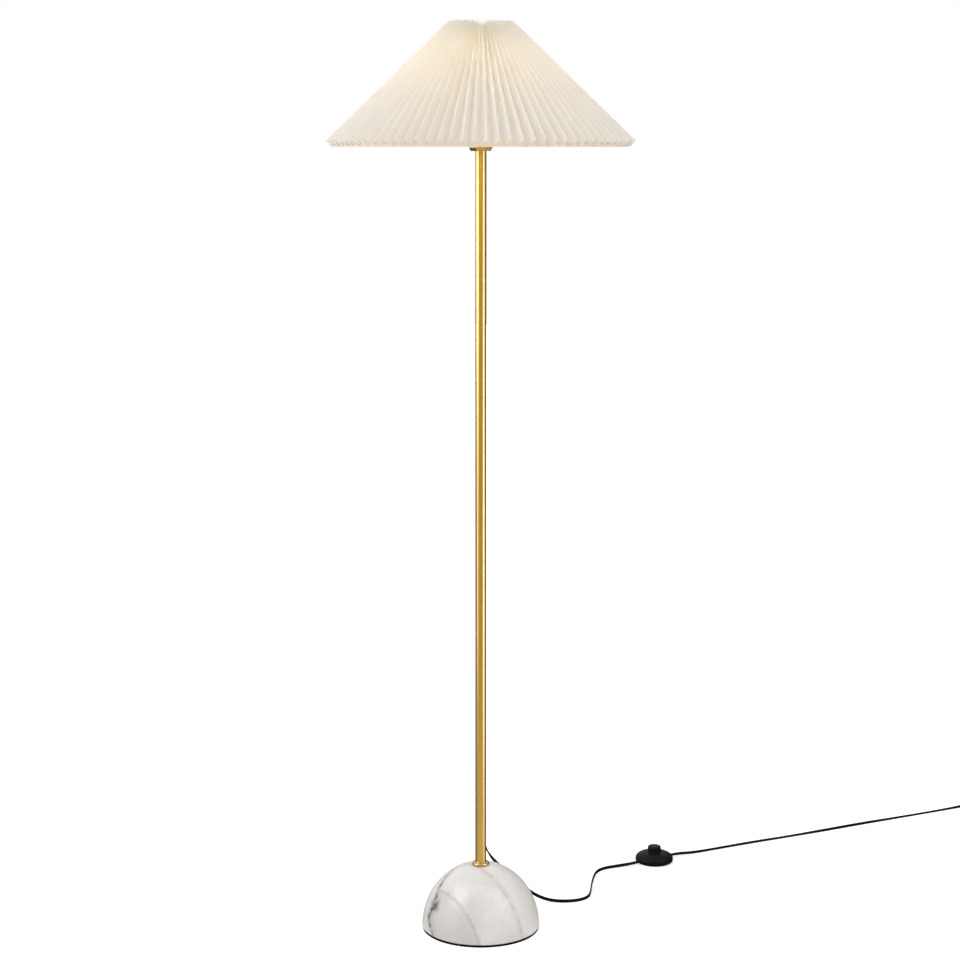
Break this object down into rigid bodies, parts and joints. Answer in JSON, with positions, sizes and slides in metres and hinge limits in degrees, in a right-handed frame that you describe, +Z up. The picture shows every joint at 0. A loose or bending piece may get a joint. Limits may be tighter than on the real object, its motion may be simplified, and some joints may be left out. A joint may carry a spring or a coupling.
{
  "type": "floor lamp",
  "caption": "Straight-pole floor lamp with a polished marble dome foot, satin brass pole, wide pleated cone shade, and a corded foot switch.",
  "frame": {"origin": "on the floor, under the middle of the round foot", "axes": "+Z up along the pole; the cord leaves the pole at the rear, +Y, and the picture is taken from the front, -Y, with +X to its right"},
  "size_m": [1.3373, 0.9093, 1.474],
  "materials": {
    "marble": "polished",
    "pad": "matte",
    "brass": "satin",
    "steel": "zinc plated",
    "contact_brass": "plain",
    "porcelain": "glossy",
    "bulb_metal": "satin",
    "bulb_contact": "tinned",
    "bulb_insulator": "glossy",
    "bulb_glass": "frosted, lit",
    "frame_wire": "white powder coat",
    "shade_fabric": "matte, translucent",
    "black_plastic": "matte",
    "cord": "semi-matte"
  },
  "bodies": {
    "lamp": {"marble_base": "marble", "base_pad": "pad", "base_collar": "brass", "lower_tube": "brass", "middle_tube": "brass", "upper_tube": "brass", "socket_cup": "brass", "tie_rod": "steel", "base_washer": "steel", "base_nut": "steel", "tube_bushes": "steel", "joint_nipples": "steel", "socket_nipple": "steel", "socket_nut": "steel", "switch_spring": "steel", "switch_screws": "steel", "screw_shell": "contact_brass", "centre_contact": "contact_brass", "switch_terminals": "contact_brass", "plug_blades": "contact_brass", "socket_body": "porcelain", "shade_ring_nut": "porcelain", "cord_bushing": "black_plastic", "switch_base": "black_plastic", "switch_cover": "black_plastic", "plug_body": "black_plastic", "coil_tie": "black_plastic", "inner_lead": "cord", "cord_lead": "cord", "cord_tail": "cord", "cord_coil": "cord", "cord_end": "cord"},
    "shade": {"fitter_ring": "frame_wire", "fitter_spokes": "frame_wire", "bottom_ring": "frame_wire", "hem_band": "shade_fabric", "top_ring": "frame_wire", "pleated_shade": "shade_fabric"},
    "bulb": {"bulb_contact": "bulb_contact", "bulb_insulator": "bulb_insulator", "bulb_cap": "bulb_metal", "bulb_glass": "bulb_glass"},
    "button": {"switch_button": "black_plastic", "contact_bridge": "contact_brass"}
  },
  "joints": [
    {"name": "shade_swivel", "type": "hinge", "parent": "lamp", "child": "shade", "pos_m": [0, 0, 1.3116], "axis": [0, 0, 1], "continuous": true},
    {"name": "bulb_out", "type": "slide", "parent": "lamp", "child": "bulb", "axis": [0, 0, 1], "range_m": [0, 0.04]},
    {"name": "switch_press", "type": "slide", "parent": "lamp", "child": "button", "axis": [0, 0, -1], "range_m": [0, 0.003], "stiffness_N_per_m": 600, "springref_m": -0.002, "deforming": ["switch_spring"]}
  ]
}
